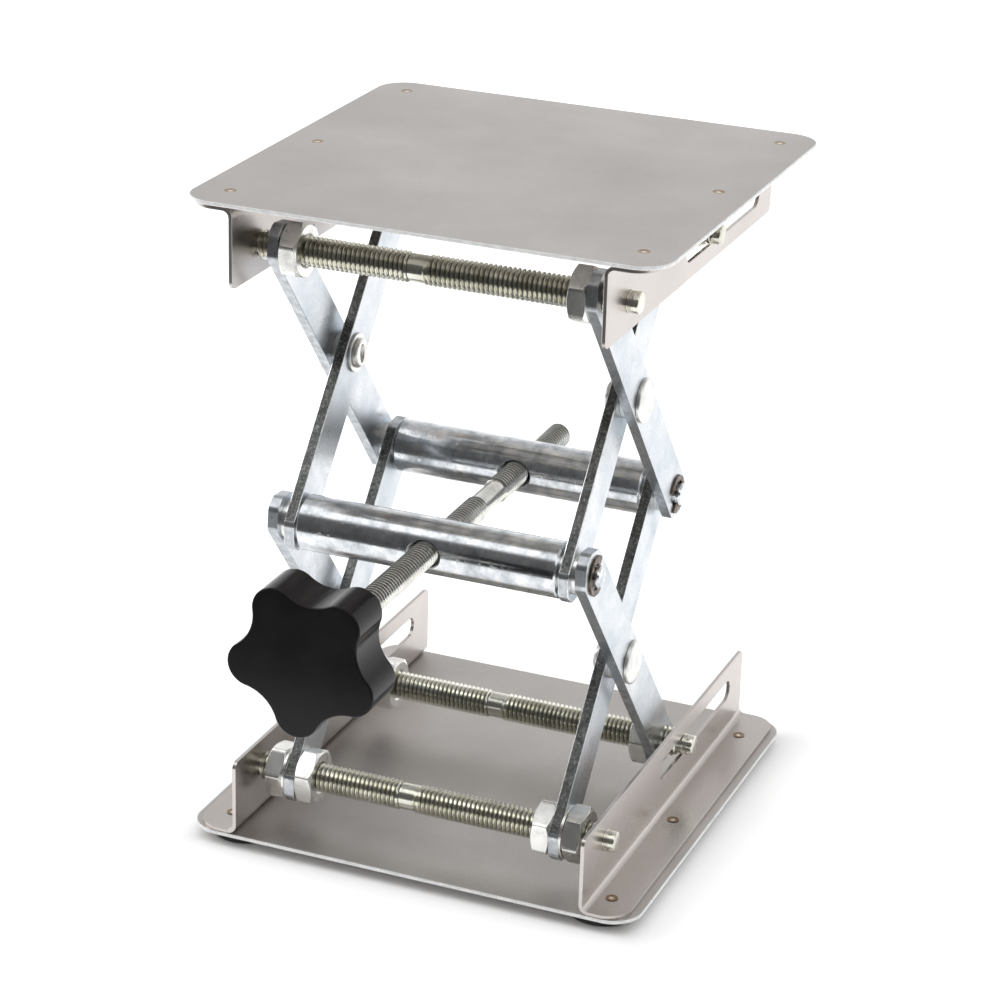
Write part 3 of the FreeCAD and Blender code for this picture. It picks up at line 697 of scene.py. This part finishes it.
def star_knob():
    """The five-lobed knob: a star with a flat front and back and rounded rims."""
    low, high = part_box("star_knob")
    centre = Vector((0, low.y, middle_of("lead_screw").z * MM))
    depth = (high.y - low.y) / MM
    radius = (high.x - low.x) / 2 / MM
    outline = star_outline(lobes=5, phase=48.7, tip=radius, tip_round=6.8, valley=17.4, steps=12)
    bm = bmesh.new()
    rings = [[bm.verts.new(centre + Vector((x, distance, z)) * MM) for x, z in outline]
             for distance in (0, depth)]
    add_band(bm, *rings)
    for ring in rings:
        bm.faces.new(ring)
    piece = make_object("star_knob_moulded", bm, [MATERIALS["knob_plastic"]], smooth_angle=40)
    round_edges(piece, 0.6, segments=4, angle=50)
    return stand_for(piece, "star_knob")


# Plates

def rounded_square(half, corner, steps=12):
    """Outline of a square with round corners, anticlockwise."""
    points = []
    for quarter, (sx, sy) in enumerate(((1, 1), (-1, 1), (-1, -1), (1, -1))):
        for k in range(steps + 1):
            angle = math.pi / 2 * (quarter + k / steps)
            points.append((sx * (half - corner) + corner * math.cos(angle),
                           sy * (half - corner) + corner * math.sin(angle)))
    return points


# Rings of a spot weld's dimple, from its rim to its middle: radius and height in millimetres.
# The outer bands are heat tint, and the ones inside SPOT_TINT_BANDS are bright.
SPOT_RINGS = ((1.9, 0.0), (1.5, -0.05), (1.1, -0.02), (0.75, -0.10), (0.35, -0.16))
SPOT_TINT_BANDS = 3
SPOT_SEGMENTS = 20
PLATE_LOOKS = [MATERIALS["stainless_sheet"], WELD_TINT, WELD_SPOT, PAINTED_RIM_HIGHLIGHT]


def add_spot(bm, centre, outer_ring=None):
    """Add a spot weld's dimple and heat tint, from an outer ring that is there or from its own."""
    tint, bright = PLATE_LOOKS.index(WELD_TINT), PLATE_LOOKS.index(WELD_SPOT)
    rings = [outer_ring] if outer_ring else []
    for radius, height in SPOT_RINGS[len(rings):]:
        rings.append(add_ring(bm, centre + Vector((0, 0, height * MM)), radius, SPOT_SEGMENTS))
    for band, (first, second) in enumerate(zip(rings, rings[1:])):
        add_band(bm, first, second, tint if band < SPOT_TINT_BANDS else bright)
    bm.faces.new(rings[-1]).material_index = bright


# Places of the spot welds along Y, on the left (-1) and right (1) sides, and their distance from
# the middle along X.
WELDS = {"top": {-1: (64.2, -3.3, -62.1), 1: (62.4, 3.3, -61.1)},
         "base": {-1: (60.0, -5.0, -63.3), 1: (57.8, -8.2, -63.3)}}
WELD_X = 64.2


def plate(node, welds):
    """A sheet with rounded edges painted bright as a highlight; welds are the places of the dimples in its
    upper face.
    """
    low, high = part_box(node)
    half = (high.x - low.x) / 2 / MM
    gauge = (high.z - low.z) / MM
    corner = 10.0
    ease = 0.3
    loops = [(ease, gauge), (ease * 0.3, gauge - ease * 0.3), (0.0, gauge - ease),
             (0.0, ease), (ease * 0.3, ease * 0.3), (ease, 0.0)]
    bm = bmesh.new()
    rings = []
    for inset, height in loops:
        rings.append([bm.verts.new(Vector((x * MM, y * MM, low.z + height * MM)))
                      for x, y in rounded_square(half - inset, corner - inset)])
    # The whole rim gets the bright rim metal: a painted highlight.
    for first, second in zip(rings, rings[1:]):
        add_band(bm, first, second, PLATE_LOOKS.index(PAINTED_RIM_HIGHLIGHT))
    bm.faces.new(rings[-1])
    edges = [bm.edges.get((rings[0][k], rings[0][k - 1])) for k in range(len(rings[0]))]
    for x, y in welds:
        centre = Vector((x * MM, y * MM, high.z))
        hole = add_ring(bm, centre, SPOT_RINGS[0][0], SPOT_SEGMENTS)
        edges += [bm.edges.new((hole[k], hole[k - 1])) for k in range(SPOT_SEGMENTS)]
        add_spot(bm, centre, hole)
    bmesh.ops.triangle_fill(bm, use_beauty=True, use_dissolve=False, edges=edges)
    piece = make_object(f"{node}_sheet", bm, PLATE_LOOKS, smooth_angle=60)
    flat = piece.modifiers.new("flat_faces", "WEIGHTED_NORMAL")
    flat.keep_sharp = True
    return stand_for(piece, node)


def base_welds():
    """Spot welds on the upper faces of the base brackets' flanges."""
    gauge, stand_off = 1.2, 0.17
    looks = [WELD_TINT, WELD_TINT, WELD_SPOT]
    for side, word in ((-1, "left"), (1, "right")):
        node = f"base_bracket_{word}"
        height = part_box(node)[0].z + (gauge + stand_off) * MM
        bm = bmesh.new()
        for y in WELDS["base"][side]:
            add_spot(bm, Vector((side * WELD_X * MM, y * MM, height)))
        piece = make_object(f"base_welds_{word}", bm, looks, smooth_angle=60)
        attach(piece, BODY_OF[node])


# Building the pieces

TOP_WELDS = [(side * WELD_X, y) for side, row in WELDS["top"].items() for y in row]
for name, welds in (("top", TOP_WELDS), ("base", [])):
    plate(f"{name}_plate", welds)
    for word in ("left", "right"):
        finished_copy(f"{name}_bracket_{word}", 0.22)
base_welds()
for node in frame["nodes"]:
    if node.startswith("foot_"):
        finished_copy(node, 0.4, segments=3)
    elif "_arm_" in node:
        arm(node)
    elif node.endswith("_rod"):
        cross_rod(node)
    elif node.endswith(("_washers", "_spacers")):
        finished_copy(node, 0.15)
    elif node.endswith("_rivets"):
        rivet_pair(node)
    elif node.endswith("_crossbar"):
        finished_copy(node, 0.25)
for rod_name in ("bottom_front", "bottom_rear", "top_front", "top_rear"):
    nut_set(f"{rod_name}_nuts", f"{rod_name}_rod")
clip_pair("front_clips", "front_crossbar", mouth_angle=15)
clip_pair("rear_clips", "rear_crossbar", mouth_angle=200)
lead_screw()
finished_copy("knob_insert", 0.2)
star_knob()


# Stage, light and camera

# The floor, in metres: where along Y the part that the metal mirrors begins, and its reach.
FLOOR_FRONT = -0.33
FLOOR_REACH = 6.0

# Glow of the floor at distances from the middle, in metres: none under the jack, full around it. The glow
# stands in for light, and its falloff near the jack is a painted shadow.
FLOOR_GLOW_AND_PAINTED_SHADOW = [(0.068, 0.0), (0.076, 0.22), (0.088, 0.40), (0.110, 0.50)]

# Brightness of the studio round the X axis: from straight down (0) through the back horizon
# (0.25), straight up (0.5) and the front horizon (0.75) to straight down again (1).
STUDIO = [(0.27, 0.80), (0.33, 0.53), (0.42, 0.34), (0.475, 0.42), (0.50, 1.00), (0.585, 1.00),
          (0.61, 0.10), (0.80, 0.05)]


def floor(name, front, back, mirrored):
    """A pale floor between two places along Y, glowing as a stand-in for light, with a painted shadow under
    and round the jack; mirrored says whether the metal shows it.
    """
    bm = bmesh.new()
    corners = ((-FLOOR_REACH, front), (FLOOR_REACH, front), (FLOOR_REACH, back), (-FLOOR_REACH, back))
    bm.faces.new([bm.verts.new((x, y, 0)) for x, y in corners])
    ground = make_object(name, bm, [])
    material, tree, shader = new_material(f"{name}_white", (0.93, 0.93, 0.93), 0.0, 0.9)
    shader.inputs["Specular IOR Level"].default_value = 0.0
    # The floor glows like a lamp; the glow falls to nothing under the jack as a painted shadow.
    shader.inputs["Emission Color"].default_value = (1, 1, 1, 1)
    place = tree.nodes.new("ShaderNodeTexCoord")
    split = tree.nodes.new("ShaderNodeSeparateXYZ")
    tree.links.new(place.outputs["Object"], split.inputs["Vector"])
    sides = [math_node(tree, "ABSOLUTE", split.outputs[axis]) for axis in "XY"]
    glow_and_painted_shadow = ramp(tree, math_node(tree, "MAXIMUM", *sides), FLOOR_GLOW_AND_PAINTED_SHADOW)
    tree.links.new(glow_and_painted_shadow, shader.inputs["Emission Strength"])
    ground.data.materials.append(material)
    ground.visible_glossy = mirrored


def world():
    """A studio: pale behind, a bright screen overhead and a dark room in front.

    That is what lights the jack and what its metal mirrors; behind the jack it shows plain white.
    """
    studio = bpy.data.worlds.new("studio")
    studio.use_nodes = True
    tree = studio.node_tree
    back = tree.nodes["Background"]
    place = tree.nodes.new("ShaderNodeTexCoord")
    split = tree.nodes.new("ShaderNodeSeparateXYZ")
    tree.links.new(place.outputs["Generated"], split.inputs["Vector"])
    front = math_node(tree, "MULTIPLY", split.outputs["Y"], -1.0)
    around = math_node(tree, "ARCTAN2", front, split.outputs["Z"])
    turn = math_node(tree, "MULTIPLY_ADD", around, 0.5 / math.pi, 0.5)
    backdrop = tree.nodes.new("ShaderNodeLightPath").outputs["Is Camera Ray"]
    tree.links.new(math_node(tree, "MAXIMUM", ramp(tree, turn, STUDIO), backdrop), back.inputs["Color"])
    back.inputs["Strength"].default_value = 1.5
    bpy.context.scene.world = studio


def softbox(name, place, aim, size, power):
    """An area light that faces a point, with its power in watts."""
    light = bpy.data.lights.new(name, "AREA")
    light.shape = "RECTANGLE"
    light.size, light.size_y = size
    light.energy = power
    lamp = bpy.data.objects.new(name, light)
    lamp.location = place
    lamp.rotation_euler = (Vector(aim) - Vector(place)).to_track_quat("-Z", "Y").to_euler()
    bpy.context.scene.collection.objects.link(lamp)


def camera():
    """The camera, from its place, the point it looks at, and its roll."""
    place = Vector((337.72, -843.24, 476.09)) * MM
    aim = Vector((-1.28, -0.51, 101.43)) * MM
    roll = Matrix.Rotation(math.radians(1.636), 4, "Z")
    data = bpy.data.cameras.new("camera")
    data.lens = 112.02
    data.sensor_width = 36
    shot = bpy.data.objects.new("camera", data)
    turn = (aim - place).to_track_quat("-Z", "Y").to_matrix().to_4x4()
    shot.matrix_world = Matrix.Translation(place) @ turn @ roll
    bpy.context.scene.collection.objects.link(shot)
    bpy.context.scene.camera = shot


floor("floor", FLOOR_FRONT, FLOOR_REACH, mirrored=True)
floor("floor_front", -FLOOR_REACH, FLOOR_FRONT, mirrored=False)
world()
softbox("left", place=(-1.3, -0.2, 0.8), aim=(0, 0, 0.1), size=(0.8, 0.9), power=5)
camera()
bpy.context.scene.view_settings.view_transform = "Standard"
